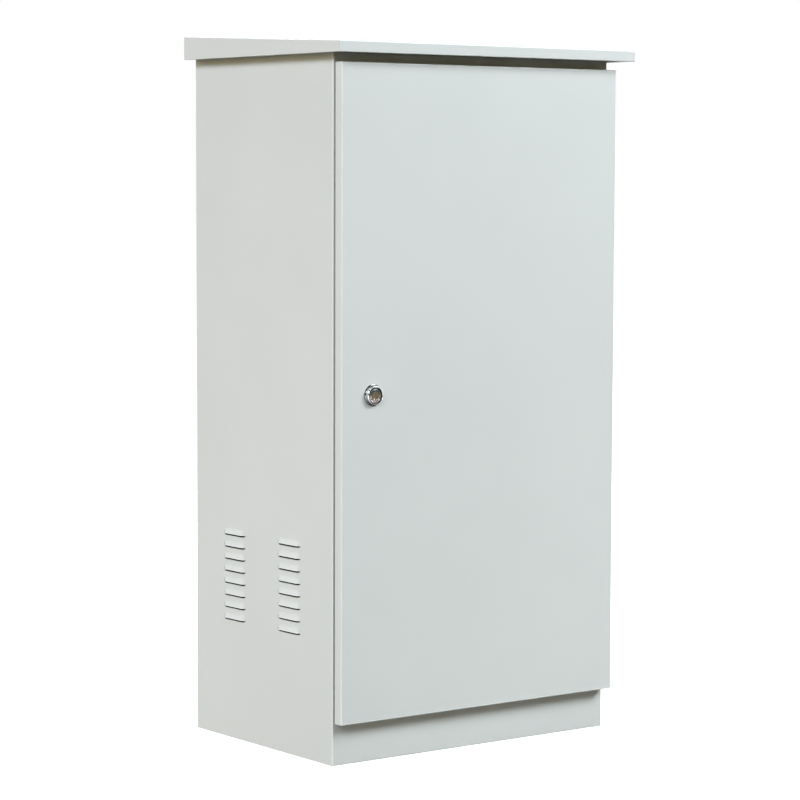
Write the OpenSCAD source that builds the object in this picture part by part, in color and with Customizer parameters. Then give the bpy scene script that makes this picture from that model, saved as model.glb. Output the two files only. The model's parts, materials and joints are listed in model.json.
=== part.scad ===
// Roadside utility cabinet: folded sheet-steel body with pressed louvres, overlay door on
// concealed hinges with a three-point rod lock, sloping rain roof and plain interior fittings.
// Millimetres. Origin at the middle of the footprint of the whole cabinet, on the ground.
// +Z is up, the door faces -Y, +X is to the right of a person facing the door.

/* [Body] */
// Width of the body
body_w = 600; // [560:10:700]
// Depth of the body without door and roof
body_d = 420; // [400:10:500]
// Height of the body up to the top plate
body_h = 1200; // [1150:10:1400]
// Sheet thickness of body, door and roof
sheet = 1.5; // [1.2:0.1:1.6]
// Inside bend radius of the folds
bend_r = 1.5; // [1:0.25:2]
// Width of the front stiles beside the door opening
stile_w = 28; // [28:1:30]
// Height of the front plinth below the door opening
plinth_h = 101; // [101:1:105]
// Height of the rail above the door opening
top_rail_h = 45; // [44:1:48]

/* [Door] */
// Depth of the folded door pan
door_t = 19; // [19:0.5:20]
// Gap between the door pan and the body, filled by the seal
door_gap = 6; // [6:0.5:7]
// Height of the lower edge of the door above the ground
door_z0 = 73; // [72:0.5:74]
// Clear height between the top edge of the door and the top of the body
door_top_gap = 17; // [16:0.5:18]
// Width of the return lip round the back of the door pan
door_lip = 26; // [25:0.5:27]

/* [Roof] */
// Overhang of the roof at each side
roof_side = 23; // [20:1:40]
// Overhang of the roof in front of the body
roof_front = 50; // [45:1:80]
// Overhang of the roof behind the body
roof_back = 2; // [2:0.5:20]
// Height of the fascia at the front
fascia_front = 19; // [18:1:30]
// Height of the fascia at the back
fascia_back = 41; // [40:1:60]
// Distance that the fascia reaches below the top of the body
roof_drop = 2; // [1:0.5:5]

/* [Louvres] */
// Number of louvres in a column
louvre_rows = 8; // [2:1:8]
// Vertical pitch of the louvres
louvre_pitch = 21.5; // [20:0.5:22]
// Length of one louvre
louvre_l = 64; // [50:1:70]
// Height of one louvre
louvre_h = 11.5; // [11:0.5:13]
// Projection of one louvre
louvre_p = 5; // [4:0.5:6]
// Height of the open slit below the edge of a louvre
louvre_gap = 3; // [1:0.5:4]
// Distance of each louvre column from the middle of the side
louvre_off = 84; // [70:1:90]
// Height of the lowest louvre edge above the ground
louvre_z0 = 214; // [210:1:230]

/* [Lock and hinges] */
// Distance of the lock from the free edge of the door
lock_inset = 65; // [64:0.5:66]
// Diameter of the lock head at the door
lock_head_d = 37; // [34:0.5:40]
// Diameter of the face of the lock head
lock_face_d = 32; // [30:0.5:33]
// Projection of the lock head
lock_head_h = 8; // [7:0.5:10]
// Diameter of the hinge pins
hinge_pin_d = 5; // [4:0.5:5]
// Length of the fixed hinge knuckles
knuckle_l = 30; // [24:1:36]

/* [Interior] */
// Width of the mounting plate
plate_w = 500; // [480:10:520]
// Height of the mounting plate
plate_h = 960; // [940:10:980]
// Length of the mounting rails
rail_l = 440; // [400:10:460]
// Clear bore of the cable glands
gland_bore_d = 20; // [14:1:22]
// Distance of the anchor holes across the cabinet
anchor_x = 540; // [536:1:544]
// Distance of the anchor holes from front to back
anchor_y = 300; // [260:10:320]
// Diameter of the anchor holes
anchor_d = 14; // [11:1:16]

/* [Hidden] */
$fn = 48;
t = sheet;
e = 0.01;
xw = body_w / 2;                                    // outside of a side wall
yf = -(roof_front + body_d + roof_back) / 2 + roof_front; // front of the body
yb = yf + body_d;                                   // back of the body
ox = xw - stile_w;                                  // edge of the door opening
oz0 = plinth_h;
oz1 = body_h - top_rail_h;
lip = 20;                                           // depth of the lips round the opening
bo = bend_r + t;                                    // outside bend radius
dyf = yf - door_gap - door_t;                       // front of the door
dyr = yf - door_gap;                                // back of the door
door_z1 = body_h - door_top_gap;
hx = xw - 8.5;                                      // hinge axis
hy = dyr - door_t / 2;
hinge_z = [176, (door_z0 + door_z1) / 2, door_z1 - 103];
lx = -xw + lock_inset;                              // lock axis
lz = (door_z0 + door_z1) / 2;
stud_r = 22;                                        // throw of the cam studs
stud_d = 8;
rod_off = stud_r * (1 + cos(45)) / 2;               // distance of a rod from the lock axis
rod_travel = stud_r * sqrt(2);
cam_y = dyf + 31.5;                                 // front face of the cam
rod_y = cam_y + 3.5;                                // front face of the rods
floor_z = 60;
plate_y = yb - 38;                                  // front face of the mounting plate
plate_z0 = 130;
rail_z = [400, 650, 900];
gland_x = [-150, -50, 50, 150];
gland_y = 20;
rz0 = body_h - roof_drop;                           // lower edge of the roof
rx = xw + roof_side;
ryf = yf - roof_front;
ryb = yb + roof_back;
roof_k = (fascia_back - fascia_front) / (ryb - ryf); // slope of the roof
side_ym = (yf + yb) / 2;

paint = [0.83, 0.86, 0.85];
zinc = [0.72, 0.73, 0.74];
chrome = [0.8, 0.8, 0.82];
black = [0.08, 0.08, 0.08];

// ---------------------------------------------------------------- folded sheet
// The outline of a folded strip: path is the line of its outer face, the sheet lies to the left of it.
function unit(v) = v / norm(v);
function left(v) = [-v[1], v[0]];
function swing(a, b) = atan2(a[0] * b[1] - a[1] * b[0], a * b);
function rev(l) = [for (i = [len(l) - 1 : -1 : 0]) l[i]];
function bend(p, q, r, s, ri, o, n = 4) =
  let (d1 = unit(q - p), d2 = unit(r - q), th = swing(d1, d2), g = th > 0 ? 1 : -1,
       rr = th > 0 ? ri + s : ri, k = rr * tan(abs(th) / 2),
       c = q - d1 * k + left(d1) * rr * g, ro = th > 0 ? rr - o : rr + o,
       v = -left(d1) * g, a0 = atan2(v[1], v[0]))
  [for (i = [0 : n]) c + ro * [cos(a0 + th * i / n), sin(a0 + th * i / n)]];
function face(path, s, ri, o) =
  let (m = len(path), a = path[0] + left(unit(path[1] - path[0])) * o,
       b = path[m - 1] + left(unit(path[m - 1] - path[m - 2])) * o)
  concat([a], m > 2 ? [for (i = [1 : m - 2]) each bend(path[i - 1], path[i], path[i + 1], s, ri, o)] : [], [b]);
function fold_outline(path, s, ri) = concat(face(path, s, ri, 0), rev(face(path, s, ri, s)));

module fold_z(path, s, ri, z0, z1) translate([0, 0, z0]) linear_extrude(z1 - z0) polygon(fold_outline(path, s, ri));
module fold_x(path, s, ri, x0, x1) translate([x0, 0, 0]) rotate([90, 0, 90]) linear_extrude(x1 - x0) polygon(fold_outline(path, s, ri));
module fold_y(path, s, ri, y0, y1) translate([0, y1, 0]) rotate([90, 0, 0]) linear_extrude(y1 - y0) polygon(fold_outline(path, s, ri));
module box(a, b) translate(a) cube(b - a);
module along_x(x0, x1) translate([x0, 0, 0]) rotate([90, 0, 90]) linear_extrude(x1 - x0) children();
module along_y(y0, y1) translate([0, y1, 0]) rotate([90, 0, 0]) linear_extrude(y1 - y0) children();

// Rectangle from a to b with the corners named by round turned to radius r.
function corner(p, r, a0, on) = on ? [for (i = [0 : 5]) p + r * [cos(a0 + 18 * i), sin(a0 + 18 * i)]] : [p + r * [cos(a0) + cos(a0 + 90), sin(a0) + sin(a0 + 90)]];
function soft_rect(a, b, r, round = [1, 1, 1, 1]) = concat(
  corner([b[0] - r, b[1] - r], r, 0, round[0]), corner([a[0] + r, b[1] - r], r, 90, round[1]),
  corner([a[0] + r, a[1] + r], r, 180, round[2]), corner([b[0] - r, a[1] + r], r, 270, round[3]));

// ---------------------------------------------------------------- fasteners
module hex(af, h, bore = 0) difference() {
  cylinder(d = af / cos(30), h = h, $fn = 6);
  if (bore > 0) translate([0, 0, -1]) cylinder(d = bore, h = h + 2);
}
module to_front() rotate([90, 0, 0]) children();      // local +Z points to the front
module to_left() rotate([0, -90, 0]) children();      // local +Z points to the left

// ---------------------------------------------------------------- body
louvre_curve = [[0, 1], [0.03, 0.92], [0.1, 0.82], [0.2, 0.72], [1, 0]];
function louvre_rows_z() = [for (i = [0 : louvre_rows - 1]) louvre_z0 + i * louvre_pitch];

// One pressed hood, outwards along +X, length along Y, its open edge at z 0.
module louvre_hood() intersection() {
  along_y(-louvre_l / 2, louvre_l / 2)
    polygon(concat([[-t / 2, 0]], [[-t / 2, louvre_h]], [for (c = louvre_curve) [c[0] * louvre_p, c[1] * louvre_h]]));
  translate([-t, 0, 0]) along_x(0, louvre_p + t + 1)
    polygon(soft_rect([-louvre_l / 2, -e], [louvre_l / 2, louvre_h + e], 4));
}
module louvre_slot() along_y(-louvre_l / 2 + t, louvre_l / 2 - t)
  polygon([[-t - 1, -louvre_gap], [-t - 1, louvre_h * 0.72], [-t * 0.9, louvre_h * 0.72], [louvre_p - t * 1.1, -e], [louvre_p - t * 1.1, -louvre_gap]]);
module louvre_places() for (s = [-1, 1]) for (c = [-1, 1]) for (z = louvre_rows_z())
  translate([s * xw, side_ym + c * louvre_off, z]) scale_side(s) children();
module scale_side(s) if (s > 0) children(); else mirror([1, 0, 0]) children();

module body_shell() color(paint) difference() {
  union() {
    fold_z([[ox, yf + lip], [ox, yf], [xw, yf], [xw, yb], [-xw, yb], [-xw, yf], [-ox, yf], [-ox, yf + lip]], t, bend_r, 0, body_h);
    louvre_places() louvre_hood();
  }
  louvre_places() louvre_slot();
  // the stiles end flat where the plinth and the top rail meet them
  for (s = [-1, 1]) for (z = [[-1, oz0], [oz1, body_h + 1]])
    box([s > 0 ? ox - 1 : -ox - bo, yf - 1, z[0]], [s > 0 ? ox + bo : -ox + 1, yf + lip + 1, z[1]]);
  // slot for the tongue of the lock
  box([-ox - t - 1, cam_y - 3, lz - 10], [-ox + 1, cam_y + 6, lz + 42]);
  // holes for the hinge screws
  for (z = hinge_z) for (k = [-9, 9]) translate([ox - 2, yf + 11, z + k]) rotate([0, 90, 0]) cylinder(d = 5.1, h = 6);
}

module front_plinth() color(paint) difference() {
  fold_x([[yf + lip, oz0], [yf, oz0], [yf, 0], [yf + 25, 0]], t, bend_r, -ox - bo, ox + bo);
  // slot for the lower rod
  box([lx - rod_off - 9.5, rod_y - 3, oz0 - 4], [lx - rod_off + 9.5, rod_y + 7, oz0 + 1]);
}

// The corners of a plate stay clear of the bends of the body.
module corner_relief(z0, z1) for (s = [-1, 1]) for (y = [[yf + t - 1, yf + t + 3], [yb - t - 3, yb - t + 1]])
  box([s > 0 ? xw - t - 3 : -xw + t - 1, y[0], z0], [s > 0 ? xw - t + 1 : -xw + t + 3, y[1], z1]);
module roof_bolt_places() for (s = [-1, 1]) for (y = [-120, 150]) translate([s * 183, y, 0]) children();
module top_plate() color(paint) difference() {
  union() {
    fold_x([[yb - t, body_h - 20], [yb - t, body_h], [yf, body_h], [yf, oz1], [yf + lip, oz1]], t, bend_r, -ox - bo, ox + bo);
    for (s = [-1, 1]) {
      box([s > 0 ? ox + bo - e : -xw + t, yf + t, body_h - t], [s > 0 ? xw - t : -ox - bo + e, yb - t, body_h]);
      box([s > 0 ? xw - 2 * t : -xw + t, yf + t, body_h - 20], [s > 0 ? xw - t : -xw + 2 * t, yb - t, body_h]);
    }
  }
  roof_bolt_places() translate([0, 0, body_h - 5]) cylinder(d = 9, h = 10);
  corner_relief(body_h - 21, body_h + 1);
  // slot for the upper rod
  box([lx + rod_off - 9.5, rod_y - 3, oz1 - 1], [lx + rod_off + 9.5, rod_y + 7, oz1 + 4]);
}

gland_screws = [for (x = [-200, 0, 200]) for (y = [gland_y - 84, gland_y + 84]) [x, y]];
module floor_plate() color(paint) difference() {
  union() {
    box([-xw + t, yf + t, floor_z], [xw - t, yb - t, floor_z + t]);
    for (s = [-1, 1]) box([s > 0 ? xw - 2 * t : -xw + t, yf + t, floor_z - 16], [s > 0 ? xw - t : -xw + 2 * t, yb - t, floor_z + e]);
    box([-xw + t, yf + t, floor_z - 16], [xw - t, yf + 2 * t, floor_z + e]);
    box([-xw + t, yb - 2 * t, floor_z - 16], [xw - t, yb - t, floor_z + e]);
  }
  box([-190, gland_y - 75, floor_z - 1], [190, gland_y + 75, floor_z + 3]);
  corner_relief(floor_z - 17, floor_z + 3);
  for (p = gland_screws) translate([p[0], p[1], floor_z - 1]) cylinder(d = 5.1, h = 5);
}

module anchor_rail(s) color(paint) difference() {
  union() {
    box([s > 0 ? xw - t - 50 : -xw + t, yf + 30, 0], [s > 0 ? xw - t : -xw + t + 50, yb - 10, 3]);
    box([s > 0 ? xw - t - 3 : -xw + t, yf + 30, 0], [s > 0 ? xw - t : -xw + t + 3, yb - 10, 40]);
  }
  for (k = [-1, 1]) translate([s * anchor_x / 2, side_ym + k * anchor_y / 2, -1]) cylinder(d = anchor_d, h = 6);
}
module anchor_rail_left() anchor_rail(-1);
module anchor_rail_right() anchor_rail(1);

// ---------------------------------------------------------------- roof
function roof_top(y) = rz0 + fascia_front + (y - ryf) * roof_k;
module roof_cover() color(paint) difference() {
  intersection() {
    along_x(-rx, rx) polygon([[ryf, rz0], [ryb, rz0], [ryb, roof_top(ryb)], [ryf + 1.2, roof_top(ryf + 1.2)], [ryf + 0.3, roof_top(ryf) - 0.35], [ryf, roof_top(ryf) - 1.2]]);
    translate([0, 0, rz0 - 1]) linear_extrude(fascia_back + 20) polygon(soft_rect([-rx, ryf], [rx, ryb], 2));
  }
  along_x(-rx + t, rx - t) polygon([[ryf + t, rz0 + t], [ryb - t, rz0 + t], [ryb - t, roof_top(ryb - t) - t], [ryf + t, roof_top(ryf + t) - t]]);
  box([-rx + 10, ryf + 10, rz0 - 1], [rx - 10, ryb - t, rz0 + t + 1]);
}
module roof_rib(s) color(paint) difference() {
  union() {
    along_x(s * 170 - 1, s * 170 + 1) polygon([[-170, body_h], [200, body_h], [200, roof_top(200) - t - 0.3], [-170, roof_top(-170) - t - 0.3]]);
    box([s > 0 ? 169 : -196, -170, body_h], [s > 0 ? 196 : -169, 200, body_h + 2]);
    along_x(s > 0 ? 169 : -196, s > 0 ? 196 : -169) polygon([[-170, roof_top(-170) - t - 2.3], [200, roof_top(200) - t - 2.3], [200, roof_top(200) - t - 0.3], [-170, roof_top(-170) - t - 0.3]]);
  }
  roof_bolt_places() translate([0, 0, body_h - 1]) cylinder(d = 9, h = 5);
}
module roof_rib_left() roof_rib(-1);
module roof_rib_right() roof_rib(1);
module roof_bolts() color(zinc) roof_bolt_places() {
  translate([0, 0, body_h - t - 5.5]) cylinder(d = 13 / cos(30), h = 5.5, $fn = 6);
  translate([0, 0, body_h - t - e]) cylinder(d = 8, h = 13);
}
module roof_nuts() color(zinc) roof_bolt_places() translate([0, 0, body_h + 2]) hex(13, 6.5, 8.1);

// ---------------------------------------------------------------- seal and fixed hinge halves
module door_gasket() color(black) difference() {
  along_y(yf - door_gap + 0.4, yf) polygon(soft_rect([-ox - 9.5, oz0 - 9.5], [ox + 9.5, oz1 + 9.5], 8));
  along_y(yf - door_gap - 1, yf + 1) polygon(soft_rect([-ox - 3.5, oz0 - 3.5], [ox + 3.5, oz1 + 3.5], 4));
}
module hinge_bracket(zc) color(zinc) difference() {
  union() {
    fold_z([[ox - 3, yf + 19], [ox - 3, hy - 1.5], [hx, hy - 1.5]], 3, 2, zc - knuckle_l / 2, zc + knuckle_l / 2);
    translate([hx, hy, zc - knuckle_l / 2]) cylinder(d = 9.6, h = knuckle_l);
  }
  translate([hx, hy, zc - knuckle_l]) cylinder(d = hinge_pin_d + 0.1, h = 2 * knuckle_l);
  for (k = [-9, 9]) translate([ox - 5, yf + 11, zc + k]) rotate([0, 90, 0]) cylinder(d = 5.1, h = 8);
}
module hinge_bracket_lower() hinge_bracket(hinge_z[0]);
module hinge_bracket_middle() hinge_bracket(hinge_z[1]);
module hinge_bracket_upper() hinge_bracket(hinge_z[2]);
module hinge_screws() color(zinc) for (z = hinge_z) for (k = [-9, 9]) translate([ox - 3, yf + 11, z + k]) {
  to_left() cylinder(d1 = 9, d2 = 7, h = 2.4);
  translate([-e, 0, 0]) rotate([0, 90, 0]) cylinder(d = 5, h = 8);
}

// ---------------------------------------------------------------- interior
plate_holes = [for (s = [-1, 1]) for (z = [plate_z0 + 30, plate_z0 + plate_h - 30]) [s * (plate_w / 2 - 25), z]];
rail_holes = [for (z = rail_z) for (s = [-1, 1]) [s * 150, z]];
module mounting_plate() color(zinc) difference() {
  fold_z([[-plate_w / 2, plate_y + 14], [-plate_w / 2, plate_y], [plate_w / 2, plate_y], [plate_w / 2, plate_y + 14]], 2, 2, plate_z0, plate_z0 + plate_h);
  for (p = plate_holes) translate([p[0], plate_y + 10, p[1]]) to_front() cylinder(d = 9, h = 20);
  for (p = rail_holes) translate([p[0], plate_y + 10, p[1]]) to_front() cylinder(d = 6.1, h = 20);
  for (s = [-1, 1]) translate([s * 120, plate_y + 10, 155]) to_front() cylinder(d = 6.1, h = 20);
}
module mounting_studs() color(zinc) for (p = plate_holes) translate([p[0], yb - t, p[1]]) to_front() {
  cylinder(d = 14, h = yb - t - plate_y - 2);
  cylinder(d = 8, h = yb - t - plate_y + 15);
}
module mounting_nuts() color(zinc) for (p = plate_holes) translate([p[0], plate_y, p[1]]) to_front() {
  difference() { cylinder(d = 16, h = 1.6); translate([0, 0, -1]) cylinder(d = 8.1, h = 4); }
  translate([0, 0, 1.6 - e]) hex(13, 6.5, 8.1);
}
module din_rail(z) color(zinc) difference() {
  fold_x([[plate_y - 6.5, z - 17.5], [plate_y - 6.5, z - 13.5], [plate_y, z - 13.5], [plate_y, z + 13.5], [plate_y - 6.5, z + 13.5], [plate_y - 6.5, z + 17.5]], 1, 0.6, -rail_l / 2, rail_l / 2);
  for (x = [-rail_l / 2 + 20 : 25 : rail_l / 2 - 20]) translate([x, plate_y + 5, z]) to_front() linear_extrude(10) {
    square([8.8, 6.3], center = true);
    for (k = [-4.4, 4.4]) translate([k, 0]) circle(d = 6.3);
  }
}
module din_rail_lower() din_rail(rail_z[0]);
module din_rail_middle() din_rail(rail_z[1]);
module din_rail_upper() din_rail(rail_z[2]);
module din_rail_screws() color(zinc) for (p = rail_holes) translate([p[0], plate_y - 1, p[1]]) to_front() {
  cylinder(d1 = 11, d2 = 9, h = 3.2);
  translate([0, 0, -8]) cylinder(d = 6, h = 8 + e);
}
earth_x = [for (i = [-3 : 1 : 4]) (i - 0.5) * 28];
module earth_bar() color([0.72, 0.45, 0.25]) difference() {
  box([-150, plate_y - 25, 145], [150, plate_y - 20, 165]);
  for (x = earth_x) translate([x, plate_y - 10, 155]) to_front() cylinder(d = 6.1, h = 20);
  for (s = [-1, 1]) translate([s * 120, plate_y - 10, 155]) to_front() cylinder(d = 6.3, h = 20);
}
module earth_bar_standoffs() color([0.55, 0.12, 0.1]) for (s = [-1, 1]) translate([s * 120, plate_y, 155]) to_front() {
  cylinder(d = 20, h = 6);
  translate([0, 0, 6 - e]) cylinder(d = 16, h = 8 + 2 * e);
  translate([0, 0, 14]) cylinder(d = 20, h = 6);
  translate([0, 0, -8]) cylinder(d = 6, h = 8 + e);
  translate([0, 0, 20 - e]) cylinder(d = 6, h = 9);
}
module earth_bar_screws() color([0.8, 0.68, 0.35]) {
  for (x = earth_x) translate([x, plate_y - 25, 155]) to_front() {
    cylinder(d = 11, h = 4);
    translate([0, 0, -9]) cylinder(d = 6, h = 9 + e);
  }
  for (s = [-1, 1]) translate([s * 120, plate_y - 25, 155]) to_front() hex(10, 3.5, 6.1);
}
module cable_clamp_rail() color(zinc)
  fold_x([[85 - 8, 182], [85 - 15, 182], [85 - 15, 167], [85 + 15, 167], [85 + 15, 182], [85 + 8, 182]], 1.5, 1, -245, 245);
module clamp_bracket(s) color(zinc) difference() {
  fold_y([[s * 214, floor_z + t], [s * 236, floor_z + t], [s * 236, 167], [s * 214, 167]], 2, 1.5, 70, 100);
  translate([s * 222, 85, 160]) cylinder(d = 5, h = 10);
}
module clamp_bracket_right() clamp_bracket(1);
module clamp_bracket_left() color(zinc) mirror([1, 0, 0]) clamp_bracket(1);

module gland_plate() color(zinc) difference() {
  along_z_plate();
  for (x = gland_x) translate([x, gland_y, floor_z]) cylinder(d = 32.4, h = 8);
  for (p = gland_screws) translate([p[0], p[1], floor_z]) cylinder(d = 5.1, h = 8);
}
module along_z_plate() translate([0, 0, floor_z + t]) linear_extrude(2) polygon(soft_rect([-210, gland_y - 95], [210, gland_y + 95], 8));
module gland_plate_screws() color(zinc) for (p = gland_screws) translate([p[0], p[1], floor_z + t + 2]) {
  cylinder(d1 = 9, d2 = 7.5, h = 3);
  translate([0, 0, -10]) cylinder(d = 5, h = 10 + e);
}
module cable_glands() color(black) for (x = gland_x) translate([x, gland_y, floor_z + t]) difference() {
  union() {
    translate([0, 0, -1]) cylinder(d = 32, h = 17);
    translate([0, 0, -9]) cylinder(d = 40 / cos(30), h = 9, $fn = 6);
    translate([0, 0, -20]) cylinder(d = 37, h = 11 + e);
    translate([0, 0, -26]) cylinder(d1 = 28, d2 = 37, h = 6 + e);
  }
  translate([0, 0, -30]) cylinder(d = gland_bore_d, h = 60);
}
module gland_locknuts() color(black) for (x = gland_x) translate([x, gland_y, floor_z + t + 2]) hex(41, 7, 32.1);

filter_y = [side_ym - 134, side_ym + 134];
filter_z = [196, 396];
module filter_frame(s) color(paint) scale_side(-s) translate([-xw + t, 0, 0]) difference() {
  box([0, filter_y[0], filter_z[0]], [12, filter_y[1], filter_z[1]]);
  box([-1, filter_y[0] + 1.2, filter_z[0] + 1.2], [10.8, filter_y[1] - 1.2, filter_z[1] - 1.2]);
  for (i = [0 : 3]) for (j = [0 : 8])
    box([9, filter_y[0] + 18 + i * 59, filter_z[0] + 17 + j * 19], [14, filter_y[0] + 18 + i * 59 + 53, filter_z[0] + 17 + j * 19 + 13]);
}
module filter_frame_left() filter_frame(-1);
module filter_frame_right() filter_frame(1);
module filter_pad(s) color([0.85, 0.86, 0.82]) scale_side(-s)
  box([-xw + t + 0.8, filter_y[0] + 1.5, filter_z[0] + 1.5], [-xw + t + 10.4, filter_y[1] - 1.5, filter_z[1] - 1.5]);
module filter_pad_left() filter_pad(-1);
module filter_pad_right() filter_pad(1);
module body_earth_stud() color([0.8, 0.68, 0.35]) translate([xw - t, 60, 112]) to_left() {
  cylinder(d = 8, h = 22);
  translate([0, 0, 0]) cylinder(d = 16, h = 1.6);
  translate([0, 0, 1.6 - e]) cylinder(d = 13 / cos(30), h = 6.5, $fn = 6);
}

// ---------------------------------------------------------------- door
module door_block(in, r) intersection() {
  linear_extrude(body_h) polygon(soft_rect([-xw + in, dyf + in], [xw - in, dyr - in], r, [0, 0, 1, 1]));
  along_x(-xw - 1, xw + 1) polygon(soft_rect([dyf + in, door_z0 + in], [dyr - in, door_z1 - in], r, [0, 1, 1, 0]));
}
module door_panel() color(paint) difference() {
  door_block(0, bo);
  door_block(t, bend_r);
  box([-xw + door_lip, dyr - t - 1, door_z0 + door_lip], [xw - door_lip, dyr + 1, door_z1 - door_lip]);
  // clearance for the fixed hinge halves
  for (z = hinge_z) box([xw - door_lip - 1, dyr - t - 1, z - 26], [xw - t, dyr + 1, z + 26]);
  translate([lx, dyf + 5, lz]) to_front() cylinder(d = 22.4, h = 20);
}
module door_stiffener() color(paint) let (a = dyf + t, x = 180)
  fold_z([[x - 38, a], [x - 25, a], [x - 25, a + 14], [x + 25, a + 14], [x + 25, a], [x + 38, a]], t, bend_r, door_z0 + 50, door_z1 - 50);
module hinge_leaf(zc) color(zinc) difference() {
  union() {
    box([xw - t - 1.5, hy - 5.5, zc - knuckle_l / 2 - 6], [xw - t, hy + 5.5, zc + knuckle_l / 2 + 6]);
    for (k = [zc - knuckle_l / 2 - 4.5, zc + knuckle_l / 2 + 0.5]) {
      box([hx, hy - 4.5, k], [xw - t, hy + 4.5, k + 4]);
      translate([hx, hy, k]) cylinder(d = 9, h = 4);
    }
  }
  translate([hx, hy, zc - knuckle_l]) cylinder(d = hinge_pin_d + 0.04, h = 2 * knuckle_l);
}
module hinge_leaf_lower() hinge_leaf(hinge_z[0]);
module hinge_leaf_middle() hinge_leaf(hinge_z[1]);
module hinge_leaf_upper() hinge_leaf(hinge_z[2]);
module hinge_pins() color(zinc) for (z = hinge_z) translate([hx, hy, z]) {
  translate([0, 0, -knuckle_l / 2 - 7]) cylinder(d = hinge_pin_d, h = knuckle_l + 12);
  translate([0, 0, knuckle_l / 2 + 4.6]) cylinder(d = 8, h = 2.4);
}

// Lock parts: local +Z points out of the door, z 0 is the front of the door.
module at_lock() translate([lx, dyf, lz]) to_front() children();
module lock_housing() color(chrome) at_lock() difference() {
  union() {
    cylinder(d = lock_head_d, h = 1.6);
    translate([0, 0, 1.6 - e]) cylinder(d1 = lock_head_d - 0.6, d2 = lock_face_d, h = lock_head_h - 1.6 + e);
    translate([0, 0, -27]) cylinder(d = 22, h = 27 + e);
  }
  translate([0, 0, 2]) cylinder(d = lock_face_d - 3.4, h = lock_head_h);
  translate([0, 0, -30]) cylinder(d = 16.1, h = 40);
}
module lock_nut() color(zinc) at_lock() translate([0, 0, -t - 6]) hex(30, 6, 22.1);
module lock_plug() color(chrome) at_lock() difference() {
  union() {
    translate([0, 0, 2.05]) cylinder(d = lock_face_d - 3.6, h = lock_head_h - 2.05 - 0.8);
    translate([0, 0, -31]) cylinder(d = 16, h = 33.06);
    translate([-4, -4, -34]) cube([8, 8, 3 + e]);
    translate([0, 0, -42]) cylinder(d = 8, h = 9);
  }
  // keyway
  translate([-1.3, -5.5, -20]) cube([2.6, 11, 40]);
  translate([0, 0, lock_head_h - 2.4]) cylinder(d = 8, h = 5);
}
module lock_cam() color(zinc) at_lock() {
  translate([0, 0, -34.5]) linear_extrude(3) difference() {
    union() {
      circle(r = 15);
      rotate(-45) square([2 * stud_r, 16], center = true);
      for (a = [-45, 135]) rotate(a) translate([stud_r, 0]) circle(d = 16);
      translate([-7, 0]) square([14, 47]);
    }
    square(8.1, center = true);
  }
  for (a = [-45, 135]) rotate(a) translate([stud_r, 0, -40]) cylinder(d = stud_d, h = 5.5 + e);
}
module cam_nut() color(zinc) at_lock() translate([0, 0, -40.5]) hex(12.6, 6, 8.1);
module lock_rod(s, z0, z1, zy) color(zinc) along_y(rod_y, rod_y + 4) translate([lx + s * rod_off, 0]) difference() {
  union() {
    translate([-7, min(z0, z1 - s * 5)]) square([14, abs(z1 - s * 5 - z0)]);
    translate([0, z1 - s * 5]) rotate(s > 0 ? 0 : 180) polygon([[-7, -1], [7, -1], [7, 0], [4, 5], [-4, 5], [-7, 0]]);
    translate([0, zy]) square([21.2, 20], center = true);
  }
  translate([0, zy]) square([15.3, stud_d + 1.8], center = true);
}
module upper_lock_rod() lock_rod(1, lz - rod_travel / 2 + 2, oz1 - 6, lz - rod_travel / 2);
module lower_lock_rod() lock_rod(-1, lz + rod_travel / 2 - 2, oz0 + 6, lz + rod_travel / 2);
module rod_guide(s, z) color(zinc) difference() {
  fold_x([[dyf + t, z + 16], [dyf + t, z], [rod_y + 10, z]], 2, 1.5, lx + s * rod_off - 15, lx + s * rod_off + 15);
  box([lx + s * rod_off - 7.4, rod_y - 0.6, z - 1], [lx + s * rod_off + 7.4, rod_y + 4.6, z + 4]);
}
module rod_guide_top() rod_guide(1, oz1 - 45);
module rod_guide_upper() rod_guide(1, 850);
module rod_guide_lower() rod_guide(-1, 400);
module rod_guide_bottom() rod_guide(-1, oz0 + 40);
module document_pocket() color([0.75, 0.76, 0.77]) difference() {
  box([-130, dyf + t, 350], [110, dyf + t + 28, 540]);
  box([-128, dyf + t + 2, 352], [108, dyf + t + 26, 541]);
  along_y(dyf + t + 25, dyf + t + 30) polygon([[-90, 541], [-70, 470], [50, 470], [70, 541]]);
}
module door_earth_stud() color([0.8, 0.68, 0.35]) translate([240, dyf + t, 300]) rotate([-90, 0, 0]) {
  cylinder(d = 8, h = 18);
  cylinder(d = 16, h = 1.6);
  translate([0, 0, 1.6 - e]) cylinder(d = 13 / cos(30), h = 6.5, $fn = 6);
}

body_shell();
front_plinth();
top_plate();
floor_plate();
anchor_rail_left();
anchor_rail_right();
roof_cover();
roof_rib_left();
roof_rib_right();
roof_bolts();
roof_nuts();
door_gasket();
hinge_bracket_upper();
hinge_bracket_middle();
hinge_bracket_lower();
hinge_screws();
mounting_plate();
mounting_studs();
mounting_nuts();
din_rail_upper();
din_rail_middle();
din_rail_lower();
din_rail_screws();
earth_bar();
earth_bar_standoffs();
earth_bar_screws();
cable_clamp_rail();
clamp_bracket_left();
clamp_bracket_right();
gland_plate();
gland_plate_screws();
cable_glands();
gland_locknuts();
filter_frame_left();
filter_pad_left();
filter_frame_right();
filter_pad_right();
body_earth_stud();
door_panel();
door_stiffener();
hinge_leaf_upper();
hinge_leaf_middle();
hinge_leaf_lower();
hinge_pins();
lock_housing();
lock_nut();
rod_guide_top();
rod_guide_upper();
rod_guide_lower();
rod_guide_bottom();
document_pocket();
door_earth_stud();
lock_plug();
lock_cam();
cam_nut();
upper_lock_rod();
lower_lock_rod();
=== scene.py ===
import json
import math

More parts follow.
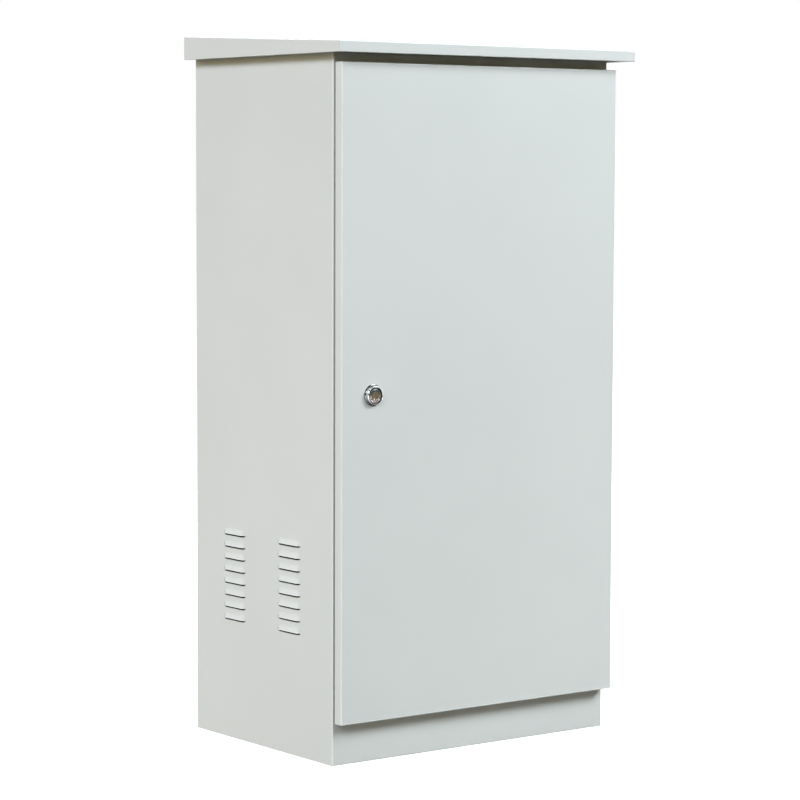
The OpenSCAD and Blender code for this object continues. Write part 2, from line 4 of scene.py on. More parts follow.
import bmesh
import bpy
from mathutils import Matrix, Vector
from mathutils.geometry import tessellate_polygon


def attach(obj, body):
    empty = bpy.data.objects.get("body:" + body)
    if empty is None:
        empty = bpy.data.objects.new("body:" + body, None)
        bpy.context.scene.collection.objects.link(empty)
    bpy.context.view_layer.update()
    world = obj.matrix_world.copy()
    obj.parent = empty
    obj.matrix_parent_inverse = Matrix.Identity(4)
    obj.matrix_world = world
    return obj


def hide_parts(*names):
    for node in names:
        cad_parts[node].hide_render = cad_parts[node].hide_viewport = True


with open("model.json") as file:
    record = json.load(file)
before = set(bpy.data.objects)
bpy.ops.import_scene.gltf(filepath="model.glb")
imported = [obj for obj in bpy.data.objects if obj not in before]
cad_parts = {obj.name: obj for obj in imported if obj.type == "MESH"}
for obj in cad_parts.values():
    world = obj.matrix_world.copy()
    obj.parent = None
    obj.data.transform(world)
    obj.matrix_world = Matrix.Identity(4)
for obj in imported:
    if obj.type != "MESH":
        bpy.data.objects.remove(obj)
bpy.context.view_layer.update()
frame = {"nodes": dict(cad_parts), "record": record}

NODES = frame["nodes"]
MM = 0.001

# ------------------------------------------------------------------ sizes in mm, as built
T = 1.5                                   # sheet
W2, YF, YB, H = 300.0, -186.0, 234.0, 1200.0
OX, OZ0, OZ1, LIP = 272.0, 101.0, 1155.0, 20.0
DYF, DYR, DZ0, DZ1, DLIP = -211.0, -192.0, 73.0, 1183.0, 26.0
LX, LZ = -235.0, 628.0                    # lock axis
HINGE_Z = (176.0, 628.0, 1080.0)
RZ0, RX, RYF, RYB, FRONT, BACK = 1198.0, 323.0, -236.0, 236.0, 19.0, 41.0
LV_ROWS, LV_PITCH, LV_L, LV_H, LV_P, LV_GAP, LV_Z0 = 8, 21.5, 64.0, 11.5, 5.0, 3.9, 214.0
LV_R, LV_END, LV_BACK, LV_REAR = 2.6, 8.5, 35.0, 36.8    # curl of the cut at the rear, length of the closed ends, rear ends of pressing and slit
LV_Y = (24.0 - 84.0, 24.0 + 84.0)
PLATE_Y, FLOOR_Z, RAIL_Z = 196.0, 60.0, (400.0, 650.0, 900.0)
ROD_Y, ROD_OFF = -176.0, 18.778           # front face of the lock rods, their distance from the lock axis
GLAND_SCREWS = [(x, y) for x in (-200, 0, 200) for y in (-64, 104)]


# ------------------------------------------------------------------ mesh helpers
def finish_mesh(name, verts, faces, mat, body, replaces=(), sharp=32, weld=1e-7, bevel=0.0, edge=None):
    """verts in mm. Welds, marks sharp edges, shades smooth, and puts the piece on its body."""
    me = bpy.data.meshes.new(name)
    me.from_pydata([(x * MM, y * MM, z * MM) for x, y, z in verts], [], faces)
    bm = bmesh.new()
    bm.from_mesh(me)
    if edge:                                              # how far a point lies in a bend, for the painted highlight along the bends of the coat
        lay = bm.verts.layers.float.new("edge")
        for v, p in zip(bm.verts, verts):
            v[lay] = edge(*p)
    bmesh.ops.remove_doubles(bm, verts=bm.verts, dist=max(weld, 1e-7))
    bmesh.ops.dissolve_degenerate(bm, edges=bm.edges, dist=1e-7)
    loose = [v for v in bm.verts if not v.link_faces]
    bmesh.ops.delete(bm, geom=loose, context="VERTS")
    limit = math.radians(sharp)
    for e in bm.edges:
        e.smooth = not (len(e.link_faces) != 2 or e.calc_face_angle(0) > limit)
    for f in bm.faces:
        f.smooth = True
    bm.to_mesh(me)
    bm.free()
    o = bpy.data.objects.new(name, me)
    bpy.context.scene.collection.objects.link(o)
    me.materials.append(mat)
    if bevel:
        add_bevel(o, bevel)
    if edge:
        m = o.modifiers.new("flat_faces", "WEIGHTED_NORMAL")
        m.keep_sharp = True
    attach(o, body)
    if replaces:
        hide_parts(*replaces)
    return o


def add_bevel(o, width, segments=2, angle=40):
    m = o.modifiers.new("edges", "BEVEL")
    m.width = width * MM
    m.segments = segments
    m.limit_method = "ANGLE"
    m.angle_limit = math.radians(angle)
    m.use_clamp_overlap = True
    m.harden_normals = True
    return m


def thick_sheet(outer, inner, faces):
    """A closed sheet from its two skins: faces index both, and the rims follow the open edges."""
    n = len(outer)
    count = {}
    for f in faces:
        for a, b in zip(f, f[1:] + f[:1]):
            count[(a, b)] = count.get((a, b), 0) + 1
    out = [list(f) for f in faces] + [[i + n for i in reversed(f)] for f in faces]
    for (a, b) in list(count):
        if (b, a) not in count:
            out.append([b, a, a + n, b + n])
    return list(outer) + list(inner), out


def weld_index(outer, inner, faces, tol=1e-4):
    """Merges outer points that coincide, so that open edges are found rightly."""
    seen, remap, o2, i2 = {}, [], [], []
    for p, q in zip(outer, inner):
        k = tuple(round(c / tol) for c in p) + tuple(round(c / tol) for c in q)
        if k not in seen:
            seen[k] = len(o2)
            o2.append(p)
            i2.append(q)
        remap.append(seen[k])
    f2 = []
    for f in faces:
        g = []
        for i in f:
            j = remap[i]
            if not g or g[-1] != j:
                g.append(j)
        if len(g) > 2 and g[0] == g[-1]:
            g.pop()
        if len(set(g)) > 2:
            f2.append(g)
    return o2, i2, f2


def arc(a0, a1, n):
    return [math.radians(a0 + (a1 - a0) * i / n) for i in range(n + 1)]


def lathe(profile, centre, segs=64, axis="-Y"):
    """profile of (radius, height) turned round the axis through centre. Returns verts, faces; open profile, closed on the axis where radius is 0."""
    verts, faces = [], []
    rings = []
    for r, h in profile:
        ring = []
        if r < 1e-6:
            verts.append(place(0, 0, h, centre, axis))
            ring = [len(verts) - 1]
        else:
            for k in range(segs):
                a = 2 * math.pi * k / segs
                verts.append(place(r * math.cos(a), r * math.sin(a), h, centre, axis))
                ring.append(len(verts) - 1)
        rings.append(ring)
    for A, B in zip(rings, rings[1:]):
        for k in range(segs):
            k2 = (k + 1) % segs
            if len(A) == 1 and len(B) == 1:
                continue
            if len(A) == 1:
                faces.append([A[0], B[k2], B[k]][::-1])
            elif len(B) == 1:
                faces.append([A[k], A[k2], B[0]])
            else:
                faces.append([A[k], A[k2], B[k2], B[k]])
    return verts, faces


def place(a, b, h, c, axis):
    """Local (a, b, h) to the row frame: h runs along axis."""
    if axis == "-Y":
        return (c[0] + a, c[1] - h, c[2] + b)
    if axis == "+Y":
        return (c[0] - a, c[1] + h, c[2] + b)
    if axis == "-X":
        return (c[0] - h, c[1] - a, c[2] + b)
    if axis == "+X":
        return (c[0] + h, c[1] + a, c[2] + b)
    if axis == "-Z":
        return (c[0] - a, c[1] + b, c[2] - h)
    return (c[0] + a, c[1] + b, c[2] + h)


def rounded_loop(a0, a1, b0, b1, r, st_a=(), st_b=(), nc=4):
    """Points round a rectangle: [(a, b, side, key)], anticlockwise from the start of the low-b side."""
    pts = []
    def corner(ca, cb, start):
        for k, th in enumerate(arc(start, start + 90, nc)):
            pts.append((ca + r * math.cos(th), cb + r * math.sin(th)))
    for a in st_a:
        pts.append((a, b0))
    corner(a1 - r, b0 + r, 270)
    for b in st_b:
        pts.append((a1, b))
    corner(a1 - r, b1 - r, 0)
    for a in reversed(st_a):
        pts.append((a, b1))
    corner(a0 + r, b1 - r, 90)
    for b in reversed(st_b):
        pts.append((a0, b))
    corner(a0 + r, b0 + r, 180)
    return pts


# ------------------------------------------------------------------ materials
def new_mat(name):
    m = bpy.data.materials.new(name)
    m.use_nodes = True
    nt = m.node_tree
    b = nt.nodes["Principled BSDF"]
    return m, nt, b


def coords(nt):
    tc = nt.nodes.new("ShaderNodeTexCoord")
    return tc.outputs["Object"]


def noise(nt, vec, scale, detail=4.0, rough=0.55, distortion=0.0):
    n = nt.nodes.new("ShaderNodeTexNoise")
    n.inputs["Scale"].default_value = scale
    n.inputs["Detail"].default_value = detail
    n.inputs["Roughness"].default_value = rough
    n.inputs["Distortion"].default_value = distortion
    nt.links.new(vec, n.inputs["Vector"])
    return n.outputs["Fac"]


def ramp(nt, fac, stops):
    r = nt.nodes.new("ShaderNodeValToRGB")
    el = r.color_ramp.elements
    while len(el) < len(stops):
        el.new(0.5)
    for e, (p, c) in zip(el, stops):
        e.position = p
        e.color = (*c, 1.0) if len(c) == 3 else c
    nt.links.new(fac, r.inputs["Fac"])
    return r.outputs["Color"]


def remap(nt, fac, lo, hi):
    n = nt.nodes.new("ShaderNodeMapRange")
    n.inputs["To Min"].default_value = lo
    n.inputs["To Max"].default_value = hi
    nt.links.new(fac, n.inputs["Value"])
    return n.outputs["Result"]


def bump(nt, height, strength, distance, normal=None):
    n = nt.nodes.new("ShaderNodeBump")
    n.inputs["Strength"].default_value = strength
    n.inputs["Distance"].default_value = distance
    nt.links.new(height, n.inputs["Height"])
    if normal is not None:
        nt.links.new(normal, n.inputs["Normal"])
    return n.outputs["Normal"]


def mapped(nt, vec, scale):
    n = nt.nodes.new("ShaderNodeMapping")
    n.inputs["Scale"].default_value = scale
    nt.links.new(vec, n.inputs["Vector"])
    return n.outputs["Vector"]


def powder_coat(name, colour, rough=0.42):
    """Satin powder coat: fine orange peel, a faint large wave in the sheet, slight tone change, and a painted
    highlight along the bends.
    """
    m, nt, b = new_mat(name)
    v = coords(nt)
    tone = noise(nt, v, 2.2, 3.0)
    c0 = tuple(c * 0.975 for c in colour)
    c1 = tuple(min(1.0, c * 1.025) for c in colour)
    # painted highlight: the coat is made 1.30 times lighter, broken up by noise, where the edge weight marks a bend or
    # a louvre lip
    bend = nt.nodes.new("ShaderNodeAttribute")
    bend.attribute_name = "edge"
    painted_bend_highlight = nt.nodes.new("ShaderNodeMath")
    painted_bend_highlight.operation = "MULTIPLY"
    nt.links.new(bend.outputs["Fac"], painted_bend_highlight.inputs[0])
    nt.links.new(remap(nt, noise(nt, v, 40.0, 4.0), 0.7, 1.1), painted_bend_highlight.inputs[1])
    mix = nt.nodes.new("ShaderNodeMix")
    mix.data_type = "RGBA"
    nt.links.new(painted_bend_highlight.outputs[0], mix.inputs["Factor"])
    nt.links.new(ramp(nt, tone, [(0.3, c0), (0.7, c1)]), mix.inputs["A"])
    mix.inputs["B"].default_value = (*(min(1.0, c * 1.30) for c in colour), 1.0)
    nt.links.new(mix.outputs["Result"], b.inputs["Base Color"])
    peel = noise(nt, v, 420.0, 2.0, 0.5)
    nt.links.new(remap(nt, peel, rough - 0.03, rough + 0.03), b.inputs["Roughness"])
    wave = noise(nt, v, 5.0, 1.0, 0.4)
    n1 = bump(nt, wave, 0.10, 0.004)
    n2 = bump(nt, peel, 0.08, 0.0003, n1)
    nt.links.new(n2, b.inputs["Normal"])
    b.inputs["Specular IOR Level"].default_value = 0.32
    return m


def metal(name, colour, rough, grain=None, var=0.06, bump_s=0.05, scale=60.0):
    """Metal with tone change, and grain stretched along an axis where grain gives the mapping scale."""
    m, nt, b = new_mat(name)
    v = coords(nt)
    b.inputs["Metallic"].default_value = 1.0
    vec = mapped(nt, v, grain) if grain else v
    n = noise(nt, vec, scale, 6.0, 0.6)
    c0 = tuple(c * (1 - var * 2) for c in colour)
    c1 = tuple(min(1.0, c * (1 + var)) for c in colour)
    nt.links.new(ramp(nt, n, [(0.25, c0), (0.75, c1)]), b.inputs["Base Color"])
    nt.links.new(remap(nt, n, max(0.02, rough - 0.08), rough + 0.08), b.inputs["Roughness"])
    if bump_s:
        nt.links.new(bump(nt, n, bump_s, 0.0003), b.inputs["Normal"])
    return m


def galvanised(name):
    """Zinc spangle: flat crystals of slightly different tone and gloss."""
    m, nt, b = new_mat(name)
    v = coords(nt)
    b.inputs["Metallic"].default_value = 1.0
    wob = noise(nt, v, 30.0, 2.0)
    vor = nt.nodes.new("ShaderNodeTexVoronoi")
    vor.inputs["Scale"].default_value = 105.0
    vor.inputs["Randomness"].default_value = 1.0
    nt.links.new(v, vor.inputs["Vector"])
    sep = nt.nodes.new("ShaderNodeSeparateColor")
    nt.links.new(vor.outputs["Color"], sep.inputs["Color"])
    nt.links.new(ramp(nt, sep.outputs[0], [(0.0, (0.36, 0.375, 0.39)), (0.5, (0.41, 0.425, 0.44)), (1.0, (0.47, 0.48, 0.49))]), b.inputs["Base Color"])
    nt.links.new(remap(nt, sep.outputs[1], 0.46, 0.60), b.inputs["Roughness"])
    nt.links.new(bump(nt, wob, 0.06, 0.001), b.inputs["Normal"])
    return m


def plastic(name, colour, rough, grain=350.0, strength=0.15):
    m, nt, b = new_mat(name)
    v = coords(nt)
    n = noise(nt, v, grain, 3.0)
    big = noise(nt, v, 12.0, 3.0)
    nt.links.new(ramp(nt, big, [(0.3, tuple(c * 0.9 for c in colour)), (0.7, tuple(min(1, c * 1.1) for c in colour))]), b.inputs["Base Color"])
    nt.links.new(remap(nt, n, rough - 0.06, rough + 0.06), b.inputs["Roughness"])
    nt.links.new(bump(nt, n, strength, 0.0003), b.inputs["Normal"])
    return m


def lock_face(name):
    """Cast face of the lock, its colour a painted reflection: dark greenish above, brown in the middle, light specks
    below.
    """
    m, nt, b = new_mat(name)
    v = coords(nt)
    sep = nt.nodes.new("ShaderNodeSeparateXYZ")
    nt.links.new(v, sep.inputs[0])
    # painted reflection: the colour changes with height, brown low and in the middle, dark green-grey above
    up = nt.nodes.new("ShaderNodeMapRange")
    up.inputs["From Min"].default_value = (LZ - 14.0) * MM
    up.inputs["From Max"].default_value = (LZ + 14.0) * MM
    nt.links.new(sep.outputs["Z"], up.inputs["Value"])
    body = ramp(nt, up.outputs["Result"], [(0.0, (0.115, 0.095, 0.088)), (0.40, (0.105, 0.077, 0.042)), (0.58, (0.10, 0.083, 0.046)), (0.72, (0.078, 0.086, 0.075)),
                                           (1.0, (0.092, 0.101, 0.095))])
    # painted highlight: light specks mixed in on the lower half only
    low = nt.nodes.new("ShaderNodeMapRange")
    low.inputs["From Min"].default_value = (LZ + 1.0) * MM
    low.inputs["From Max"].default_value = (LZ - 5.0) * MM
    nt.links.new(sep.outputs["Z"], low.inputs["Value"])
    grain = noise(nt, v, 330.0, 2.0, 0.6)
    highlight_speck = nt.nodes.new("ShaderNodeMapRange")
    highlight_speck.inputs["From Min"].default_value = 0.50
    highlight_speck.inputs["From Max"].default_value = 0.66
    nt.links.new(grain, highlight_speck.inputs["Value"])
    both = nt.nodes.new("ShaderNodeMath")
    both.operation = "MULTIPLY"
    nt.links.new(highlight_speck.outputs["Result"], both.inputs[0])
    nt.links.new(low.outputs["Result"], both.inputs[1])
    mix = nt.nodes.new("ShaderNodeMix")
    mix.data_type = "RGBA"
    nt.links.new(both.outputs[0], mix.inputs["Factor"])
    nt.links.new(body, mix.inputs["A"])
    mix.inputs["B"].default_value = (0.66, 0.61, 0.61, 1.0)
    nt.links.new(mix.outputs["Result"], b.inputs["Base Color"])
    b.inputs["Metallic"].default_value = 0.78
    nt.links.new(remap(nt, grain, 0.12, 0.30), b.inputs["Roughness"])
    nt.links.new(bump(nt, grain, 0.45, 0.0003), b.inputs["Normal"])
    return m


def lock_chrome(name):
    """Bright plating of the lock head, with painted shade: darker at its foot next to the door and towards the bottom.
    """
    m, nt, b = new_mat(name)
    v = coords(nt)
    sep = nt.nodes.new("ShaderNodeSeparateXYZ")
    nt.links.new(v, sep.inputs[0])
    # painted shade: the plating is darkened near the door (along Y) and on the lower part (along Z), to near black
    # where both meet
    parts = []
    for axis, a0, a1, lo in (("Y", DYF - 1.5, DYF - 3.2, 0.16), ("Z", LZ - 15.0, LZ - 3.0, 0.12)):
        n = nt.nodes.new("ShaderNodeMapRange")
        n.inputs["From Min"].default_value = a0 * MM
        n.inputs["From Max"].default_value = a1 * MM
        n.inputs["To Min"].default_value = lo
        nt.links.new(sep.outputs[axis], n.inputs["Value"])
        parts.append(n.outputs["Result"])
    both = nt.nodes.new("ShaderNodeMath")
    both.operation = "MULTIPLY"
    nt.links.new(parts[0], both.inputs[0])
    nt.links.new(parts[1], both.inputs[1])
    nt.links.new(ramp(nt, both.outputs[0], [(0.0, (0.02, 0.02, 0.02)), (1.0, (0.74, 0.75, 0.76))]), b.inputs["Base Color"])
    b.inputs["Metallic"].default_value = 1.0
    nt.links.new(remap(nt, noise(nt, v, 120.0, 3.0), 0.05, 0.16), b.inputs["Roughness"])
    return m


PAINT = powder_coat("powder_coat_grey", (0.560, 0.585, 0.567))
ZINC = metal("zinc_plated", (0.43, 0.44, 0.455), 0.43, None, 0.08, 0.05, 110.0)
GALV = galvanised("galvanised_sheet")
CHROME = lock_chrome("chrome")
LOCKFACE = lock_face("lock_face")
BRASS = metal("brass", (0.72, 0.56, 0.27), 0.28, None, 0.06, 0.03, 120.0)
COPPER = metal("copper", (0.72, 0.40, 0.25), 0.30, (0.05, 1, 1), 0.08, 0.06, 300.0)
SEAL = plastic("foam_seal", (0.018, 0.018, 0.019), 0.78, 900.0, 0.5)
BLACK = plastic("black_nylon", (0.022, 0.022, 0.024), 0.45)
GREY = plastic("grey_plastic", (0.46, 0.48, 0.49), 0.40)
RED = plastic("red_insulator", (0.33, 0.035, 0.02), 0.35)
FILTER = plastic("filter_mat", (0.030, 0.031, 0.033), 0.9, 260.0, 1.0)


# ------------------------------------------------------------------ body shell with pressed louvres
def louvre_u(y):
    """Place along the louvre that y lies in, from its middle, positive to the rear, or None."""
    for yc in LV_Y:
        if -LV_L / 2 - 1e-6 <= y - yc <= LV_REAR + 1e-6:
            return y - yc
    return None


def louvre_slit(u):
    """Height of the slit under the lip: it runs out before the front end and past the curl at the rear."""
    q = (-u - 16.0) / 15.5 if u < 0 else (u - 33.0) / (LV_REAR - 33.0)
    q = min(1.0, max(0.0, q))
    return LV_GAP * math.sqrt(1 - q * q)


def louvre_rise(u):
    """Height by which the cut curls up in the rounded rear corner of a louvre."""
    a = min(LV_R, u - (LV_BACK - LV_R))
    return 0.0 if a <= 0 else LV_R - math.sqrt(max(0.0, LV_R * LV_R - a * a))


def louvre_point(u, s):
    """Outward height and height above the cut, at s from 0 (open edge) to 1 (top)."""
    end = -LV_L / 2 - u if u < 0 else u - LV_BACK          # below 0 inside the pressing
    q = min(1.0, max(0.0, end / LV_END + 1))
    g = math.cos(math.pi / 2 * q) ** 2
    w = 0.42
    f = (1 - s) ** 2 / (2 * w) / (1 - w / 2) if s > 1 - w else ((1 - s) - w / 2) / (1 - w / 2)
    dz = louvre_rise(u)
    return LV_P * g * f, dz + s * (LV_H - dz)


def shell_stations():
    """The plan line of the wrap: (x, y, nx, ny, kind)."""
    r = 2.0
    st = []
    half = (0, 8, 16, 20, 22.5, 24, 25.5, 26.5, 27.5, 28.5, 29.5, 30.3, 31, 31.5, 32, 32.7, 33.4, 34, 34.5, 34.8, 35, 35.5, 36, 36.4, 36.8, 37.1, 37.2, 39)
    side_y = sorted({yc + k * u for yc in LV_Y for u in half for k in (-1, 1)})
    lip_y = [YF + LIP, -173.5, -182.5, YF + r]
    n = 8
    for y in lip_y:
        st.append((OX, y, -1, 0, "lipR"))
    for a in arc(180, 270, n)[1:]:
        st.append((OX + r + r * math.cos(a), YF + r + r * math.sin(a), math.cos(a), math.sin(a), "inR"))
    st.append((OX + 3.0, YF, 0, -1, "inR"))
    for a in arc(270, 360, n):
        st.append((W2 - r + r * math.cos(a), YF + r + r * math.sin(a), math.cos(a), math.sin(a), "bend"))
    for y in side_y:
        st.append((W2, y, 1, 0, "sideR"))
    for a in arc(0, 90, n):
        st.append((W2 - r + r * math.cos(a), YB - r + r * math.sin(a), math.cos(a), math.sin(a), "bend"))
    for a in arc(90, 180, n):
        st.append((-W2 + r + r * math.cos(a), YB - r + r * math.sin(a), math.cos(a), math.sin(a), "bend"))
    for y in reversed(side_y):
        st.append((-W2, y, -1, 0, "sideL"))
    for a in arc(180, 270, n):
        st.append((-W2 + r + r * math.cos(a), YF + r + r * math.sin(a), math.cos(a), math.sin(a), "bend"))
    st.append((-OX - 3.0, YF, 0, -1, "inL"))
    for a in arc(270, 360, n):
        st.append((-OX - r + r * math.cos(a), YF + r + r * math.sin(a), math.cos(a), math.sin(a), "inL"))
    for y in reversed(lip_y[:-1]):
        st.append((-OX, y, 1, 0, "lipL"))
    return st


def build_shell():
    st = shell_stations()
    rows = [(0.0, None, None), (OZ0, None, None)]          # height, louvre number, place on the louvre
    steps = (0, 0.03, 0.1, 0.25, 0.42, 0.56, 0.66, 0.74, 0.82, 0.9, 0.96, 1.0)
    for k in range(LV_ROWS):
        z0 = LV_Z0 + k * LV_PITCH
        rows.append((z0 - LV_GAP - 1.2, None, None))
        rows.append((z0 - LV_GAP, k, "below"))
        for s in steps:
            rows.append((z0 + s * LV_H, k, s))
        rows.append((z0 + LV_H + 1.2, None, None))
    rows += [(LZ - 10, None, None), (LZ + 42, None, None), (OZ1, None, None), (H, None, None)]
    outer, inner, index = [], [], {}

    def vid(i, j):
        if (i, j) not in index:
            x, y, nx, ny, kind = st[i]
            z, k, s = rows[j]
            d = 0.0
            u = louvre_u(y) if kind in ("sideR", "sideL") else None
            if k is not None and u is not None:
                z0 = LV_Z0 + k * LV_PITCH
                if s == "below":
                    z = z0 + louvre_rise(u) - louvre_slit(u)
                else:
                    d, up = louvre_point(u, s)
                    z = z0 + up
            index[(i, j)] = len(outer)
            outer.append((x + nx * d, y + ny * d, z))
            inner.append((x + nx * (d - T), y + ny * (d - T), z))
        return index[(i, j)]

    faces = []
    for i in range(len(st) - 1):
        x0, y0, k0 = st[i][0], st[i][1], st[i][4]
        x1, y1, k1 = st[i + 1][0], st[i + 1][1], st[i + 1][4]
        inside = abs(x0) <= OX + 3.01 and abs(x1) <= OX + 3.01 and max(y0, y1) < YF + LIP + 1 and x0 * x1 > 0
        open_col = k0 == k1 and k0 in ("sideR", "sideL") and louvre_u(y0) is not None and louvre_u(y1) is not None and abs(y1 - y0) < 30
        for j in range(len(rows) - 1):
            z0, z1 = rows[j][0], rows[j + 1][0]
            if inside and (z1 <= OZ0 + 1e-6 or z0 >= OZ1 - 1e-6):
                continue
            if k0 == k1 == "lipL" and min(y0, y1) >= -182.6 and max(y0, y1) <= -173.4 and z0 >= LZ - 10.1 and z1 <= LZ + 42.1:
                continue
            if open_col and rows[j][2] == "below":
                continue
            faces.append([vid(i, j), vid(i + 1, j), vid(i + 1, j + 1), vid(i, j + 1)])
    o2, i2, f2 = weld_index(outer, inner, faces)
    v, f = thick_sheet(o2, i2, f2)

    # weight of the painted highlight: in the corner bends and along the lip of each louvre
    def bend(x, y, z):
        if abs(x) > W2 + 0.6:                             # lip of a louvre
            k = round((z - LV_Z0 - 4.0) / LV_PITCH)
            return 1.0 if z - LV_Z0 - k * LV_PITCH - louvre_rise(louvre_u(y)) < 0.4 else 0.0
        return 1.0 if abs(x) > W2 - 1.99 and (y < YF + 1.99 or y > YB - 1.99) else 0.0
    return finish_mesh("cabinet_shell", v, f, PAINT, "cabinet", ["body_shell"], sharp=34, edge=bend)


# ------------------------------------------------------------------ folded pans: door and roof
def build_door():
    r = 1.55
    prof = [(r + 1.5, DYF, 0.0)]                          # inset, y, theta
    for th in arc(0, 90, 6):
        prof.append((r - r * math.sin(th), DYF + r - r * math.cos(th), th))
    for th in arc(90, 180, 6):
        prof.append((r - r * math.sin(th), DYR - r - r * math.cos(th), th))
    prof.append((DLIP, DYR, math.pi))
    st_x = [-200.0, 0.0, 200.0]
    st_z = sorted([z + k for z in HINGE_Z for k in (-26, 26)])
    outer, inner, rings = [], [], []
    for d, y, th in prof:
        lo = rounded_loop(-W2 + d, W2 - d, DZ0 + d, DZ1 - d, max(0.35, 1.6 - d), st_x, st_z)
        di, yi = d + T * math.sin(th), y + T * math.cos(th)
        li = rounded_loop(-W2 + di, W2 - di, DZ0 + di, DZ1 - di, max(0.35, 1.6 - di), st_x, st_z)
        if abs(d - DLIP) < 1e-6:
            li = rounded_loop(-W2 + d, W2 - d, DZ0 + d, DZ1 - d, 0.35, st_x, st_z)
        ring = []
        for (a, b), (ai, bi) in zip(lo, li):
            ring.append(len(outer))
            outer.append((a, y, b))
            inner.append((ai, yi, bi))
        rings.append(ring)
    faces = []
    n = len(rings[0])
    # lock hole
    hole = []
    for k in range(40):
        a = 2 * math.pi * k / 40
        hole.append(len(outer))
        outer.append((LX + 11.2 * math.cos(a), DYF, LZ + 11.2 * math.sin(a)))
        inner.append((LX + 11.2 * math.cos(a), DYF + T, LZ + 11.2 * math.sin(a)))
    loop_o = [Vector((outer[i][0], outer[i][2], 0)) for i in rings[0]]
    loop_h = [Vector((outer[i][0], outer[i][2], 0)) for i in hole]
    flat = list(rings[0]) + list(hole)
    for tri in tessellate_polygon([loop_o, loop_h]):
        f = [flat[i] for i in tri]
        p = [outer[i] for i in f]
        area = (p[1][0] - p[0][0]) * (p[2][2] - p[0][2]) - (p[2][0] - p[0][0]) * (p[1][2] - p[0][2])
        faces.append(f if area > 0 else f[::-1])
    for k in range(len(rings) - 1):
        A, B = rings[k], rings[k + 1]
        for i in range(n):
            i2 = (i + 1) % n
            za, zb = outer[A[i]][2], outer[A[i2]][2]
            xa = min(outer[A[i]][0], outer[A[i2]][0])
            lo, hi = min(za, zb), max(za, zb)
            if k == len(rings) - 2 and xa > 200 and any(lo >= z - 26.1 and hi <= z + 26.1 for z in HINGE_Z) and hi - lo > 1:
                continue
            faces.append([A[i2], A[i], B[i], B[i2]])
    o2, i2, f2 = weld_index(outer, inner, faces)
    v, f = thick_sheet(o2, i2, f2)

    # weight of the painted highlight in the bends of the door
    def bend(x, y, z):
        d = min(W2 - abs(x), z - DZ0 - 0.1, DZ1 - z - 0.1)
        return 1.0 if d < r - 0.01 and (y < DYF + r - 0.01 or y > DYR - r + 0.01) else 0.0
    return finish_mesh("door_pan", v, f, PAINT, "door", ["door_panel"], sharp=38, edge=bend)


def roof_top(y):
    return RZ0 + FRONT + (y - RYF) * (BACK - FRONT) / (RYB - RYF)


def build_roof():
    r = 1.7
    lip = 10.0
    outer, inner, rings = [], [], []
    st = []
    for th in arc(0, 90, 6):
        st.append((r - r * math.sin(th), "top", r - r * math.cos(th), th))
    for th in arc(90, 180, 6):
        st.append((r - r * math.sin(th), "low", r + r * math.cos(th), th))
    st.append((lip, "low", 0.0, math.pi))
    for d, kind, e, th in st:
        ring = []
        lo = rounded_loop(-RX + d, RX - d, RYF + d, RYB - d, max(0.4, 1.6 - d), [-160.0, 0.0, 160.0], [-120.0, 0.0, 120.0])
        di = d + T * math.sin(th) if d < lip - 1e-6 else d
        li = rounded_loop(-RX + di, RX - di, RYF + di, RYB - di, max(0.4, 1.6 - di), [-160.0, 0.0, 160.0], [-120.0, 0.0, 120.0])
        for (a, b), (ai, bi) in zip(lo, li):
            if kind == "top":
                z = roof_top(b) - e
                zi = roof_top(bi) - e - T * math.cos(th)
            else:
                z = RZ0 + e
                zi = RZ0 + e - T * math.cos(th)
            ring.append(len(outer))
            outer.append((a, b, z))
            inner.append((ai, bi, zi))
        rings.append(ring)
    faces = []
    flat = rings[0]
    for tri in tessellate_polygon([[Vector((outer[i][0], outer[i][1], 0)) for i in flat]]):
        f = [flat[i] for i in tri]
        p = [outer[i] for i in f]
        area = (p[1][0] - p[0][0]) * (p[2][1] - p[0][1]) - (p[2][0] - p[0][0]) * (p[1][1] - p[0][1])
        faces.append(f if area > 0 else f[::-1])
    n = len(rings[0])
    for k in range(len(rings) - 1):
        A, B = rings[k], rings[k + 1]
        for i in range(n):
            i2 = (i + 1) % n
            back = outer[A[i]][1] > RYB - 14 and outer[A[i2]][1] > RYB - 14
            if back and k >= 7:
                continue
            faces.append([A[i], B[i], B[i2], A[i2]])
    o2, i2, f2 = weld_index(outer, inner, faces)
    v, f = thick_sheet(o2, i2, f2)

    # weight of the painted highlight in the bends of the roof
    def bend(x, y, z):
        d = min(RX - abs(x), y - RYF, RYB - y)
        return 1.0 if d < r - 0.01 and (z > roof_top(y) - r + 0.01 or z < RZ0 + r - 0.01) else 0.0
    return finish_mesh("roof_cap", v, f, PAINT, "cabinet", ["roof_cover"], sharp=38, edge=bend)


